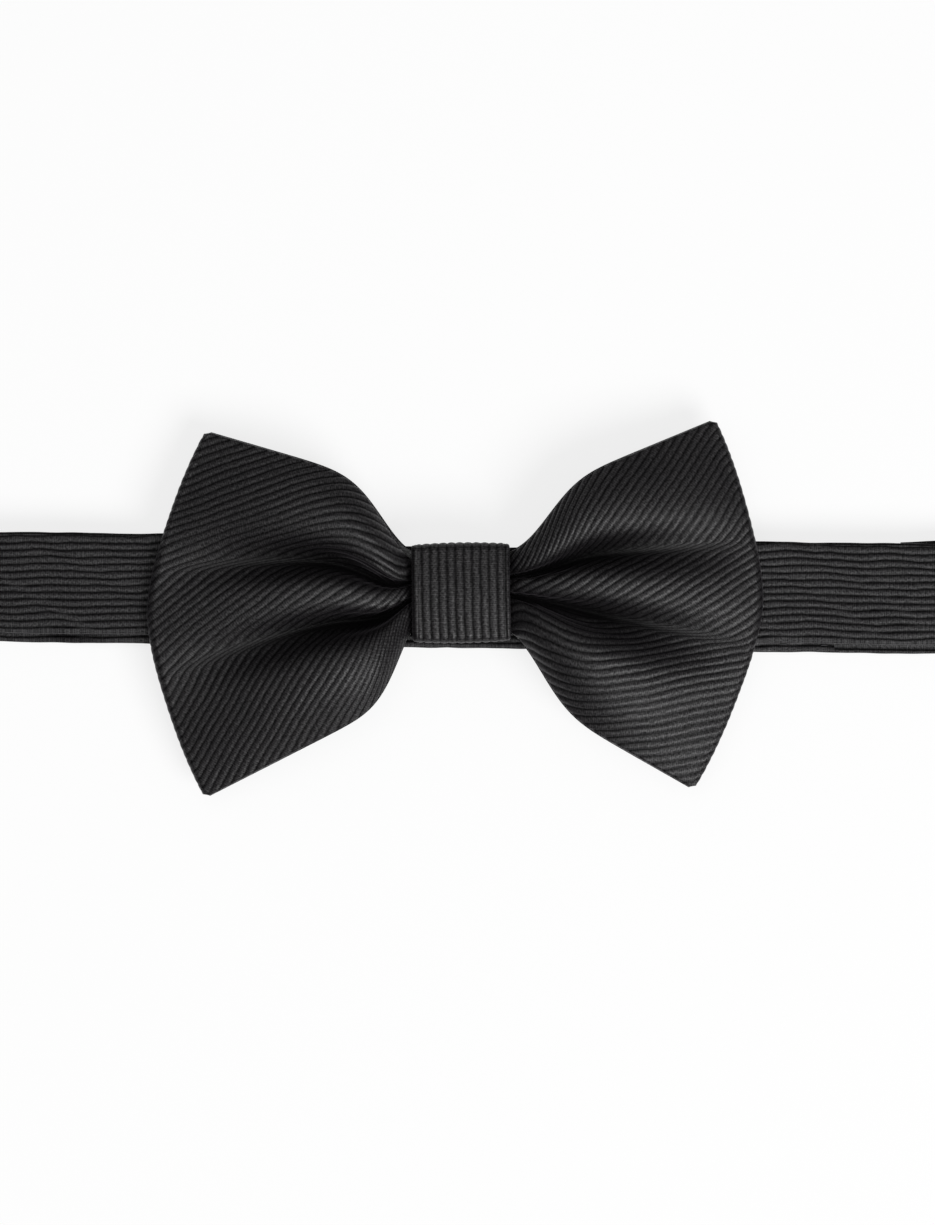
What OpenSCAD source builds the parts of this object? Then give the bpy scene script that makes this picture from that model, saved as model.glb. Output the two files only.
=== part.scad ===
// Pre-tied bow tie with an adjustable neck band, laid flat with the band closed.
// The origin is on the resting plane under the middle of the knot. X runs along the band,
// +Y points to the upper edge of the bow and +Z comes out of its face.

/* [Neck band] */
// Width of the neck band
band_w = 19.8; // [19.0:0.1:20.0]
// Thickness of the finished band
band_t = 1.0; // [0.8:0.05:1.0]
// Length of the front layer from the middle of the knot to each fold
band_half = 100.7; // [98:0.1:120]
// How far the back straps lie below the front layer
back_drop = 1.8; // [0.5:0.1:2.0]
// Height of the front layer's middle above the straps' middle, at the folds
fold_gap = 5.6; // [5.6:0.1:6.5]

/* [Bow] */
// Distance from the middle of the knot to where each wing leaves it
waist_x = 9.6; // [9:0.1:10]
// How far the outer edge of a wing bulges beyond the line between its tips
wing_bulge = 11.3; // [8:0.1:13]
// Steepest slope of the pleats beside the knot, in degrees
pleat_angle = 92; // [60:1:95]
// Thickness of the sewn bow strip
bow_t = 1.0; // [0.8:0.05:1.2]
// How far the bow slides along the band each way
bow_travel = 12; // [5:1:12]

/* [Knot] */
// Width of the knot wrap along the band
knot_w = 19.1; // [18:0.1:20]
// Lower edge of the knot wrap
knot_low = -10.3; // [-10.6:0.1:-10.2]
// Upper edge of the knot wrap
knot_high = 8.5; // [8.4:0.1:8.8]
// Turn of the knot wrap on the band, in degrees
knot_turn = 1.7; // [0:0.1:2]

/* [Closure and adjuster] */
// Middle of the bar that the hook strap turns round
hook_x = 30; // [26:1:30]
// Middle of the adjuster buckle
buckle_x = -50; // [-54:1:-50]
// Width of the metal parts over their side rails
metal_w = 22.4; // [22.4:0.1:23]
// Thickness of the stamped hook and eye
plate_t = 0.8; // [0.6:0.05:0.8]

/* [Hidden] */

// Levels, all above the resting plane.
low_z = band_t / 2;                  // middle of a strap that lies on the plane
front_z = low_z + fold_gap;          // middle of the front layer
raised_z = 3.5;                      // middle of the hook strap where it runs over its return
front_top = front_z + band_t / 2;

// Neck band.
slot_t = 0.42;                       // room inside the folded fabric
slot_edge = 0.8;                     // fabric at the folded edges, beside the interlining
interlining_t = 0.36;
interlining_edge = 1.0;
gather_y = -0.9;                     // middle and half width of the band inside the knot
gather_half = 7.8;
gather_end = 24;                     // the band is gathered up to here
gather_full = 38;                    // and has its full width from here
strap_y = -back_drop;
overlap_x = 86;                      // the sewn end under the front layer at the right
overlap_length = 14;
overlap_t = 0.7;
overlap_turn = 4;

// Bow: [edge height at the knot, slope, extra rise, where it rises, how sharply] per wing edge,
// then the tip positions.
left_top = [5.8, 11, 13.1, 0.2, 1.8];
left_low = [-9.0, -20.5, -11.8, 0.112, 1.5];
right_top = [7.5, 16.6, 9.3, 0.245, 2.3];
right_low = [-8.6, -19.6, -10.2, 0.241, 2.1];
left_tips = [-49.6, -50.3];
right_tips = [46.1, 49.3];
left_valleys = [[-0.12, -0.22], [0.36, -0.12]];   // [place at the knot, drift outwards]
right_valleys = [[-0.11, -0.12], [0.38, -0.06]];
profile_steps = 18;                  // cells across the wing
wing_steps = 9;                      // cells from the knot to the outer fold
fold_steps = 4;
ply_gap = 0.03;
back_clear = 0.4;                    // room between the band and the bow's back layer
waist_top = 10.9;                    // top of the middle pleat inside the knot
tip_top = 10.4;                      // and at the outer fold
pleat_rise = 4.4;                    // how much higher it stands between them
pleat_fade = 0.95;                   // how fast the pleats flatten outwards
pleat_sharpness = 1.6;               // sharper valleys than ridges
edge_roll = 0.6;                     // how far the wing's edges roll down, as a share of the pleats
face_edge_droop = 2.6;                    // how far the face's corners droop below its middle
back_edge_droop = 1.6;                    // and the back layer's edges
left_peek = 1.5;                     // how far the back layer shows over the left wing at the knot
end_taper = 0.96;                    // the strip narrows towards its ends
end_gap = 0.3;                       // half the gap between the strip's ends at the centre back

// Knot.
knot_ply = 0.5;
knot_core = 0.28;
knot_back_z = 4.4;
knot_top_z = 13.6;
knot_crown = 0.6;
knot_round = 1.5;
thread_inset = 0.95;                 // from the wrap's outside to the binding thread
thread_clear = 0.12;                 // from the band to the binding thread

// Hook, eye and adjuster.
ramp_start = -82;                    // where the hook strap climbs over its return
ramp_end = -68;
rail_t = 1.0;
hook_bar_r = 0.8;
strap_turn_r = (raised_z - low_z) / 2;
thin_bar_r = 0.4;
eye_bar_x = hook_x + 24.5;
eye_z = 1.55;
hook_low_z = 0.55;
tongue_w = 8;
buckle_half = 6;
tail_t = 0.9;
thread_r = 0.13;

charcoal = [0.16, 0.16, 0.165];
dark_charcoal = [0.12, 0.12, 0.125];
fleece = [0.86, 0.85, 0.82];
black_thread = [0.07, 0.07, 0.07];
black_nickel = [0.3, 0.3, 0.31];

// ---------------------------------------------------------------- paths and ribbons

function mix(a, b, t) = a + (b - a) * t;
function ease(t) = let (c = min(max(t, 0), 1)) c * c * (3 - 2 * c);
function reversed(list) = [for (i = [len(list) - 1:-1:0]) list[i]];

// Points of a circular arc, in the XZ plane for the straps and in the YZ plane for the knot.
function arc(x, z, r, from, to, steps) =
    [for (i = [0:steps]) let (a = mix(from, to, i / steps)) [x + r * cos(a), z + r * sin(a)]];

function path_normal(path, i) =
    let (run = path[min(i + 1, len(path) - 1)] - path[max(i - 1, 0)])
    [-run[1], run[0]] / norm(run);

function thickened(path, t) = concat(
    [for (i = [0:len(path) - 1]) path[i] + path_normal(path, i) * t / 2],
    [for (i = [len(path) - 1:-1:0]) path[i] - path_normal(path, i) * t / 2]
);

// The path with both ends drawn out by one millimetre.
function lengthened(path) =
    let (n = len(path) - 1, a = path[0] - path[1], b = path[n] - path[n - 1])
    concat([path[0] + a / norm(a)], [for (i = [1:n - 1]) path[i]], [path[n] + b / norm(b)]);

// A flat strip of width w that follows an XZ path.
module ribbon(path, t, w, y) {
    translate([0, y + w / 2, 0])
        rotate([90, 0, 0])
            linear_extrude(height = w)
                polygon(thickened(path, t));
}

// Folded fabric with room inside for its interlining.
module folded_strap(path) {
    difference() {
        ribbon(path, band_t, band_w, strap_y);
        ribbon(lengthened(path), slot_t, band_w - 2 * slot_edge, strap_y);
    }
}

module strap_core(path) {
    ribbon(path, interlining_t, band_w - 2 * interlining_edge, strap_y);
}

// Stitches that lie across the strap in a row.
module stitch_row(x, z, count, length) {
    pitch = (band_w - 3) / (count - 1);
    for (i = [0:count - 1])
        translate([x - length / 2, strap_y - (band_w - 3) / 2 + i * pitch, z])
            rotate([0, 90, 0])
                cylinder(r = thread_r, h = length, $fn = 16);
}

// ---------------------------------------------------------------- neck band, front layer

// Half outline of the front layer, narrowed where the knot gathers it.
function gather(x) = ease((abs(x) - gather_end) / (gather_full - gather_end));

function front_outline(inset, reach) =
    let (
        inner = [for (i = [0:8]) mix(gather_end, gather_full, i / 8)],
        xs = concat([-reach], [for (x = reversed(inner)) -x], inner, [reach]),
        high = [for (x = xs) [x, mix(gather_y + gather_half, band_w / 2, gather(x)) - inset]],
        low = [for (x = xs) [x, mix(gather_y - gather_half, -band_w / 2, gather(x)) + inset]]
    )
    concat(low, reversed(high));

module front_layer(t, inset, reach) {
    translate([0, 0, front_z - t / 2])
        linear_extrude(height = t)
            polygon(front_outline(inset, reach));
}

module band_front() {
    color(charcoal)
        difference() {
            front_layer(band_t, 0, band_half);
            front_layer(slot_t, slot_edge, band_half + 1);
        }
}

module band_front_interlining() {
    color(fleece)
        front_layer(interlining_t, interlining_edge, band_half - 0.2);
}

// The half turn from the front layer to a back strap. It drifts down by back_drop on the way.
module band_fold(side) {
    steps = 16;
    centre_z = (low_z + front_z) / 2;
    rows = [for (i = [0:steps]) let (
        a = mix(90, -90, i / steps),
        y = -back_drop * ease(i / steps)
    ) [for (corner = [[1, -1], [1, 1], [-1, 1], [-1, -1]]) let (
        r = fold_gap / 2 + corner[0] * band_t / 2
    ) [side * (band_half + r * cos(a)), y + corner[1] * band_w / 2, centre_z + r * sin(a)]]];
    sides = [for (i = [0:steps - 1]) for (k = [0:3]) let (
        a = 4 * i + k,
        b = 4 * i + (k + 1) % 4
    ) each [[a, b, b + 4], [a, b + 4, a + 4]]];
    last = 4 * steps;
    ends = [[0, 2, 1], [0, 3, 2], [last, last + 1, last + 2], [last, last + 2, last + 3]];
    faces = concat(sides, ends);
    polyhedron(
        points = [for (row = rows) each row],
        faces = side > 0 ? [for (f = faces) reversed(f)] : faces
    );
}

module left_fold() {
    color(charcoal) band_fold(-1);
}

module right_fold() {
    color(charcoal) band_fold(1);
}

// The end of the right strap, sewn under the front layer a little askew.
module right_seam_overlap() {
    color(dark_charcoal)
        translate([overlap_x, 0.2, front_z - band_t / 2 - overlap_t - 0.05])
            rotate([0, 0, overlap_turn])
                translate([0, -band_w / 2, 0])
                    cube([overlap_length, band_w, overlap_t]);
}

// ---------------------------------------------------------------- bow

// Height of a wing edge at the fraction u of the way from the knot to its tip.
function edge_y(edge, u) =
    edge[0] + edge[1] * u + edge[2] * (1 - exp(-pow(u / edge[3], edge[4])));

function wing_top(side, u) = edge_y(side < 0 ? left_top : right_top, u);
function wing_low(side, u) = edge_y(side < 0 ? left_low : right_low, u);

// Outer edge of a wing at e, which runs from -1 at the lower tip to 1 at the upper tip.
function outer_x(side, e) =
    let (tips = side < 0 ? left_tips : right_tips)
    mix(tips[0], tips[1], (e + 1) / 2) + side * wing_bulge * (1 - pow(abs(e), 1.6));

// Half the thickness of the loop at the outer fold.
function loop_r(e) = 1.65 - 0.65 * e * e;

function plan(side, u, e) = [
    side * waist_x + (outer_x(side, e) - side * (loop_r(e) + waist_x)) * u,
    mix(wing_low(side, u), wing_top(side, u), (e + 1) / 2)
];

function valleys(side, u) = [for (v = side < 0 ? left_valleys : right_valleys) v[0] + v[1] * u];

// Slope of the pleated profile at s, from -1 at the lower edge to 1 at the upper edge:
// three ridges with two valleys between them, rounder on the ridges than in the valleys.
function wave(t) = sin(180 * pow(t, pleat_sharpness));

function slope(side, u, s) = let (
    v = valleys(side, u),
    ridge = (v[0] + v[1]) / 2,
    low_ridge = (v[0] - 1) / 2,
    high_ridge = (v[1] + 1) / 2,
    lean = s < low_ridge ? edge_roll * sin(90 * (low_ridge - s) / (low_ridge + 1))
        : s < v[0] ? -wave((s - low_ridge) / (v[0] - low_ridge))
        : s < ridge ? wave((ridge - s) / (ridge - v[0]))
        : s < v[1] ? -wave((s - ridge) / (v[1] - ridge))
        : s < high_ridge ? wave((high_ridge - s) / (high_ridge - v[1]))
        : -edge_roll * sin(90 * (s - high_ridge) / (1 - high_ridge))
) pleat_angle * pow(1 - u, pleat_fade) * lean;

function running_sum(list) =
    let (last = len(list))
    [for (i = 0, sum = 0; i <= last; sum = sum + (i < last ? list[i] : 0), i = i + 1) sum];

// One row of points across a wing, at depth d below its face. The profile keeps its length
// along the pleats, so that the ridges rise as the fabric is drawn together.
function face_row(side, u, d) = let (
    n = profile_steps,
    mids = [for (i = [0:n - 1]) slope(side, u, 2 * (i + 0.5) / n - 1)],
    across = running_sum([for (a = mids) cos(a)]),
    height = running_sum([for (a = mids) sin(a)]),
    width = norm(plan(side, u, 1) - plan(side, u, -1)),
    scale = width / across[n],
    lift = mix(0.62, 1, ease(u / 0.15)),
    ridge = (valleys(side, u)[0] + valleys(side, u)[1]) / 2,
    ridge_height = lookup((ridge + 1) * n / 2, [for (i = [0:n]) [i, height[i]]]),
    top = mix(waist_top, tip_top, u) + pleat_rise * sin(180 * pow(u, 0.7))
) [for (i = [0:n]) let (
    s = 2 * i / n - 1,
    e = 2 * across[i] / across[n] - 1,
    p = plan(side, u, e),
    a = atan2(lift * sin(slope(side, u, s)), cos(slope(side, u, s))),
    z = top + lift * scale * (height[i] - ridge_height) - face_edge_droop * u * u * s * s
) [p[0], p[1] + d * sin(a), z - d * cos(a)]];

// The back layer lies almost flat on the band and droops past its edges.
function back_height(u, e) =
    front_top + back_clear - back_edge_droop * u * ease((abs(e) - 0.4) / 0.6);

function back_row(side, u, d) =
    [for (i = [0:profile_steps]) let (
        e = 2 * i / profile_steps - 1,
        p = plan(side, u, e),
        peek = (side < 0 ? left_peek : 0) * (e + 1) / 2 * exp(-pow(u / 0.12, 2))
    ) [p[0], p[1] + peek, back_height(u, e) + d]];

function turn_row(side, angle, d) = let (
    face = face_row(side, 1, 0),
    back = back_row(side, 1, 0)
) [for (i = [0:profile_steps]) let (
    r = (face[i][2] - back[i][2]) / 2,
    z = (face[i][2] + back[i][2]) / 2
) [face[i][0] + side * (r - d) * cos(angle), face[i][1], z + (r - d) * sin(angle)]];

function centre_row(side, d) =
    [for (p = back_row(side, 0, d)) [side * end_gap, end_taper * p[1], p[2]]];

// Closer rows beside the knot, where the pleats turn fastest.
function ease_out(t) = pow(t, 1.25);

// Rows of the strip on one side: from the centre back out round the fold and in to the knot.
function half_strip(side, d) = concat(
    [centre_row(side, d)],
    [for (i = [0:wing_steps]) back_row(side, ease_out(i / wing_steps), d)],
    [for (i = [1:fold_steps - 1]) turn_row(side, mix(-90, 90, i / fold_steps), d)],
    [for (i = [wing_steps:-1:0]) face_row(side, ease_out(i / wing_steps), d)]
);

function bow_rows(d) = concat(half_strip(1, d), reversed(half_strip(-1, d)));

// A quad as two triangles, turned over unless it faces forward.
function split_quad(q, forward) = forward
    ? [[q[0], q[1], q[2]], [q[0], q[2], q[3]]]
    : [[q[0], q[2], q[1]], [q[0], q[3], q[2]]];

// One ply of the bow strip, between two depths.
module bow_ply(outer_d, inner_d) {
    outer = bow_rows(outer_d);
    inner = bow_rows(inner_d);
    rows = len(outer);
    n = profile_steps + 1;
    base = rows * n;
    cells = [for (r = [0:rows - 2]) for (i = [0:n - 2]) r * n + i];
    rims = [for (r = [0:rows - 2]) for (i = [0, n - 1]) [r * n + i, i == 0]];
    ends = [for (r = [0, rows - 1]) for (i = [0:n - 2]) [r * n + i, r == 0]];
    faces = concat(
        [for (a = cells) each [[a, a + n, a + n + 1], [a, a + n + 1, a + 1]]],
        [for (c = cells) let (a = base + c) each [[a, a + n + 1, a + n], [a, a + 1, a + n + 1]]],
        [for (c = rims) let (a = c[0]) each split_quad([a, base + a, base + a + n, a + n], c[1])],
        [for (c = ends) let (a = c[0]) each split_quad([a, a + 1, base + a + 1, base + a], c[1])]
    );
    polyhedron(points = [for (row = concat(outer, inner)) each row], faces = faces);
}

module bow_face_fabric() {
    color(charcoal) bow_ply(0, 0.35 * bow_t);
}

module bow_interlining() {
    color(fleece) bow_ply(0.35 * bow_t + ply_gap, 0.65 * bow_t - ply_gap);
}

module bow_lining() {
    color(dark_charcoal) bow_ply(0.65 * bow_t, bow_t);
}

// ---------------------------------------------------------------- knot

// Outline of the knot in the YZ plane, drawn in by inset, with a slightly domed front.
function knot_outline(inset) = let (
    r = max(knot_round - inset, 0.4),
    low = knot_low + inset,
    high = knot_high - inset,
    back = knot_back_z + inset,
    top = knot_top_z - inset,
    corner = function (y, z, from) arc(y, z, r, from, from + 90, 4),
    dome = function (t) top + knot_crown * sin(180 * t)
) concat(
    corner(high - r, back + r, -90),
    corner(high - r, top - r, 0),
    [for (k = [1:9]) [mix(high - r, low + r, k / 10), dome(k / 10)]],
    corner(low + r, top - r, 90),
    corner(low + r, back + r, 180)
);

// A closed band round the waist between two depths.
module waist_ring(outer_inset, inner_inset, w) {
    rotate([0, 0, knot_turn])
        translate([-w / 2, 0, 0])
            rotate([90, 0, 90])
                linear_extrude(height = w)
                    difference() {
                        polygon(knot_outline(outer_inset));
                        polygon(knot_outline(inner_inset));
                    }
}

module knot_wrap() {
    color(charcoal) waist_ring(0, knot_ply, knot_w);
}

module knot_interlining() {
    color(fleece) waist_ring(knot_ply, knot_ply + knot_core, knot_w - 1.5);
}

// Hand stitches that close the wrap at the back.
module knot_stitches() {
    count = 7;
    pitch = (knot_w - 3) / (count - 1);
    color(black_thread)
        for (i = [0:count - 1])
            translate([(i - (count - 1) / 2) * pitch, -2.2, knot_back_z - thread_r])
                rotate([-90, 0, 0])
                    cylinder(r = thread_r, h = 2.6, $fn = 16);
}

// Thread bound round the pleats under the wrap.
module waist_thread() {
    color(black_thread)
        for (i = [-2:2])
            translate([i * 0.5, 0, 0])
                rotate([90, 0, 90])
                    linear_extrude(height = 0.3, center = true)
                        difference() {
                            bound_outline(thread_inset);
                            bound_outline(thread_inset + 0.25);
                        }
}

module bound_outline(inset) {
    low = front_top + thread_clear + inset - thread_inset;
    high = knot_top_z - inset;
    translate([knot_low + inset, low])
        square([knot_high - knot_low - 2 * inset, high - low]);
}

// ---------------------------------------------------------------- hook strap and hook

function hook_strap_path() = concat(
    [[-band_half, low_z], [ramp_start, low_z]],
    [for (i = [1:5]) [mix(ramp_start, ramp_end, i / 6), mix(low_z, raised_z, ease(i / 6))]],
    [[ramp_end, raised_z]],
    arc(hook_x, (raised_z + low_z) / 2, strap_turn_r, 90, -90, 12)
);

function strap_return_path() = [[hook_x - 0.1, low_z], [buckle_x + 0.2, low_z]];

module hook_strap() {
    color(charcoal) folded_strap(hook_strap_path());
}

module hook_strap_interlining() {
    color(fleece) strap_core(hook_strap_path());
}

module strap_return() {
    color(charcoal) ribbon(strap_return_path(), band_t, band_w, strap_y);
}

module side_rails(x, length, z, height) {
    for (side = [-1, 1])
        translate([x, strap_y + side * (metal_w - rail_t) / 2 - rail_t / 2, z])
            cube([length, rail_t, height]);
}

module cross_bar(x, z, r) {
    translate([x, strap_y, z])
        rotate([90, 0, 0])
            cylinder(r = r, h = metal_w, center = true, $fn = 48);
}

function tongue_path() = concat(
    [[hook_x + 5, 2], [hook_x + 6.2, 2], [hook_x + 8.8, hook_low_z]],
    arc(hook_x + 17.2, hook_low_z + 1, 1, -90, 90, 12),
    [[hook_x + 14.5, hook_low_z + 2]]
);

module hook() {
    color(black_nickel)
        union() {
            cross_bar(hook_x, 2, hook_bar_r);
            side_rails(hook_x, 6, 2 - plate_t / 2, plate_t);
            translate([hook_x + 3.4, strap_y - metal_w / 2, 2 - plate_t / 2])
                cube([2.6, metal_w, plate_t]);
            ribbon(tongue_path(), plate_t, tongue_w, strap_y);
        }
}

// ---------------------------------------------------------------- adjuster

module adjuster_buckle() {
    bar = 1.6;
    top = 5.0;
    color(black_nickel)
        union() {
            side_rails(buckle_x - buckle_half, 2 * buckle_half, 0.9, top - 0.9);
            for (x = [buckle_x - buckle_half, buckle_x + buckle_half - bar])
                translate([x, strap_y - metal_w / 2, top - plate_t])
                    cube([bar, metal_w, plate_t]);
            cross_bar(buckle_x, tail_z(), thin_bar_r);
        }
}

function tail_z() = low_z + tail_turn_r();
function tail_turn_r() = thin_bar_r + 0.1 + tail_t / 2;

// The strap's tail goes round the middle bar and is sewn back onto itself.
function tail_path() = concat(
    arc(buckle_x, tail_z(), tail_turn_r(), -90, -270, 12),
    [[buckle_x + 5, tail_z() + tail_turn_r()]],
    [[buckle_x + 9, band_t + tail_t / 2 + 0.05], [buckle_x + 17, band_t + tail_t / 2 + 0.05]]
);

module adjuster_tail_loop() {
    color(dark_charcoal) ribbon(tail_path(), tail_t, band_w, strap_y);
}

module adjuster_tail_stitches() {
    color(black_thread)
        for (x = [buckle_x + 11, buckle_x + 15])
            stitch_row(x, band_t + tail_t + 0.05 + thread_r, 9, 1.2);
}

// ---------------------------------------------------------------- eye strap and eye

function eye_strap_path() = concat(
    [[band_half, low_z]],
    arc(eye_bar_x, eye_z, eye_z - low_z, -90, -270, 12),
    [[eye_bar_x + 3.5, 2 * eye_z - low_z]],
    [[eye_bar_x + 6.5, low_z + band_t + 0.05], [eye_bar_x + 19, low_z + band_t + 0.05]]
);

module eye_strap() {
    color(charcoal) folded_strap(eye_strap_path());
}

module eye_strap_interlining() {
    color(fleece) strap_core(eye_strap_path());
}

module eye_strap_stitches() {
    color(black_thread)
        for (x = [eye_bar_x + 9, eye_bar_x + 17])
            stitch_row(x, 2 * band_t + 0.05 + thread_r, 9, 1.2);
}

module eye() {
    front = hook_x + 10;
    plate_end = hook_x + 21.6;
    color(black_nickel)
        union() {
            difference() {
                translate([front, strap_y - metal_w / 2, eye_z - plate_t / 2])
                    cube([plate_end - front, metal_w, plate_t]);
                translate([front + 2, strap_y - tongue_w / 2 - 1.5, 0])
                    cube([8, tongue_w + 3, 4]);
            }
            side_rails(front, eye_bar_x - front, eye_z - plate_t / 2, plate_t);
            cross_bar(eye_bar_x, eye_z, thin_bar_r);
        }
}

band_front();
band_front_interlining();
left_fold();
right_fold();
right_seam_overlap();
bow_face_fabric();
bow_interlining();
bow_lining();
waist_thread();
knot_wrap();
knot_interlining();
knot_stitches();
hook_strap();
hook_strap_interlining();
strap_return();
hook();
adjuster_buckle();
adjuster_tail_loop();
adjuster_tail_stitches();
eye_strap();
eye_strap_interlining();
eye_strap_stitches();
eye();
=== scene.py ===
import math

import bmesh
import bpy
import numpy as np
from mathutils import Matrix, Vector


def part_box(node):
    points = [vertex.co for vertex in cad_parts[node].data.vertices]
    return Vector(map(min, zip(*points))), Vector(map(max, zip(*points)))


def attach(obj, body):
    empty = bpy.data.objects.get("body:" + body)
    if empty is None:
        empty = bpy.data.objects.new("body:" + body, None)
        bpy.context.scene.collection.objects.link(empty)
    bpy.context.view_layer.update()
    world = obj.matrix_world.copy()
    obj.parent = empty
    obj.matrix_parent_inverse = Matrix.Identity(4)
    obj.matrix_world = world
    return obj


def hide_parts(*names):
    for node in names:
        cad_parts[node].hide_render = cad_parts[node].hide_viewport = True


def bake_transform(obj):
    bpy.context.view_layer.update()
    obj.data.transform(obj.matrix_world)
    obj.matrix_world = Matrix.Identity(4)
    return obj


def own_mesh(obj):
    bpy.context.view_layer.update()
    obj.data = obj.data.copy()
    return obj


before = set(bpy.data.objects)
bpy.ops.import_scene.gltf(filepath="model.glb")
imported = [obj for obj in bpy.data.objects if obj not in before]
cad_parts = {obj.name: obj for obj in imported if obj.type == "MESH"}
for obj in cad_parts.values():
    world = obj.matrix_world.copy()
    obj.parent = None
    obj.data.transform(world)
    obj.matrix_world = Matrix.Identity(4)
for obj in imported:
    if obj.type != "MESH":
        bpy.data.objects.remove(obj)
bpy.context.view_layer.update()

# The looks of a pre-tied bow tie that lies flat with its neck band closed. Shapes are worked out
# in millimetres with the formulas of the CAD source and put into Blender in metres.
MM = 0.001
UV_UNIT = 0.01               # one unit of the cloth coordinates is 100 mm along a cord or 100 cords


def node_box(node):
    """Lowest and highest corners of a CAD node at rest, in millimetres."""
    low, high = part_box(node)
    return np.array(low) / MM, np.array(high) / MM


# ---------------------------------------------------------------- sizes, in millimetres

band_low, band_high = node_box("band_front")
BAND_HALF = band_high[0]
BAND_W = band_high[1] - band_low[1]
BAND_T = band_high[2] - band_low[2]
FRONT_TOP = band_high[2]
FRONT_Z = FRONT_TOP - BAND_T / 2
LOW_Z = BAND_T / 2
FOLD_R = (FRONT_Z - LOW_Z) / 2
FOLD_Z = (FRONT_Z + LOW_Z) / 2
STRAP_Y = node_box("strap_return")[0][1] + BAND_W / 2
RAISED_Z = 3.5               # the hook strap where it runs over its return
RAMP = (-82.0, -68.0)        # and where it climbs
GATHER_Y = -0.9              # middle and half width of the band inside the knot
GATHER_HALF = 7.8
GATHER = (24.0, 38.0)        # from gathered to full width
BAND_RIBS = 14
BAND_CROWN = 0.16            # how far the middle of the band stands above its sides
BAND_CORD = 0.26             # height of the band's cords
FLOOR_CROWN = -0.12          # the strips on the floor are pressed hollow instead of crowned

HOOK_X = 30.0
BUCKLE_X = -50.0
EYE_BAR_X = HOOK_X + 24.5
EYE_Z = 1.55
TAIL_T = 0.9
TAIL_R = 0.95
SEWN_GAP = 0.05              # between two layers sewn onto each other

OVERLAP_X = (86.0, 100.0)    # the sewn end under the front layer at the right
OVERLAP_Y = 0.2
OVERLAP_Z = 5.2
OVERLAP_T = 0.7
OVERLAP_TURN = math.radians(4)

WAIST_X = 9.6
WING_BULGE = 11.3
PLEAT_ANGLE = 92.0
BACK_CLEAR = 0.4
WAIST_TOP = 10.9             # top of the middle pleat at the knot and at the outer fold
TIP_TOP = 10.4
PLEAT_RISE = 4.4
PLEAT_FADE = 0.95
PLEAT_SHARPNESS = 1.6
EDGE_ROLL = 0.6
BACK_PEEK = {-1: 1.5, 1: 0.0}     # how far the back layer shows over the front one at the knot
EDGES = {
    -1: {"top": (5.8, 11, 13.1, 0.2, 1.8), "low": (-9.0, -20.5, -11.8, 0.112, 1.5)},
    1: {"top": (7.5, 16.6, 9.3, 0.245, 2.3), "low": (-8.6, -19.6, -10.2, 0.241, 2.1)},
}
TIPS = {-1: (-49.6, -50.3), 1: (46.1, 49.3)}
VALLEYS = {-1: ((-0.12, -0.22), (0.36, -0.12)), 1: ((-0.11, -0.12), (0.38, -0.06))}
RIB_PITCH = 1.5              # cords of the bow's fabric, which is cut on the bias
RIB_ANGLE = math.radians(35)
RIB_HEIGHT = 0.28
TUCK_REACH = 0.04            # how far a valley's tucked cloth reaches to each side
# How far the painted shade of the lower and of the upper valley reaches, (below the valley, above it).
SHADE_REACH = ((0.09, 0.08), (0.08, 0.15))
CREASE_DEPTH = 0.35          # the sharp crease along the bottom of each valley
CREASE_HALF = 0.018
EDGE_R = 0.5                 # rounding of the strip's turned edges
FACE_EDGE_DROOP = 2.6        # how far the corners of the face and of the back layer droop
BACK_EDGE_DROOP = 1.6
KNOT_START = -0.03           # the strip starts a little inside the knot
STRIP_SPAN = 42.0            # rough distance from the knot to the outer fold, for counting rows
FOLD_SPAN = 6.0              # and round the outer fold
FOLD_ROOM = 1.65             # room left for the outer fold in its middle, and how much less
FOLD_ROOM_LOSS = 0.65        # there is at the tips
# Cells across the strip on its outer and inner side, and their length on its front and back.
FACE_CELLS = {"cells": 208, "inner_cells": 80, "cell": 0.27, "back_cell": 0.45}
PLY_CELLS = {"cells": 208, "inner_cells": 208, "cell": 0.8, "back_cell": 1.0}
PLY_INSET = 0.012            # how far the inner side stays back from each edge, in widths
FACE_DEPTHS = (0.0, 0.35)    # depth of the face's outer and inner side under the bow's surface

KNOT_W = 19.1
KNOT_TURN = math.radians(1.7)
KNOT_LOW, KNOT_HIGH = -10.3, 8.5
KNOT_BACK, KNOT_TOP = 4.4, 13.6
KNOT_RIBS = 12
KNOT_CORD = 0.22
KNOT_ROUND = 1.5             # corners of its outline, seen from the side
KNOT_CROWN = 0.6             # how far its front bulges along its length
KNOT_DOME = 0.35             # and across it
KNOT_SEAM = 0.12             # depth of the line beside each edge
KNOT_PITCH = KNOT_W / (KNOT_RIBS - 0.3)


# ---------------------------------------------------------------- small helpers

def mix(a, b, t):
    return a + (b - a) * t


def ease(t):
    t = np.clip(t, 0, 1)
    return t * t * (3 - 2 * t)


def wander(x, seed, scale):
    """A smooth random-looking wave of about unit height, the same on each run."""
    x = np.asarray(x, float)
    parts = ((0.45, 1.0, 1.3), (0.3, 1.73, 2.1), (0.2, 2.61, 0.7), (0.12, 3.9, 3.3))
    return sum(share * np.sin(2 * np.pi * x * turns / scale + seed * start)
               for share, turns, start in parts)


def scatter(index, seed):
    """A random-looking number from -1 to 1 for each whole number."""
    value = np.sin(np.asarray(index, float) * 12.9898 + seed * 78.233) * 43758.5453
    return 2 * (value - np.floor(value)) - 1


def cords(phase, seed):
    """Height of a row of cords, from about -0.5 in the grooves to 0.5 on the crests."""
    crest = np.abs(np.cos(np.pi * phase)) ** 0.85 - 0.5
    return crest * (1 + 0.16 * scatter(np.round(phase), seed))


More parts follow.
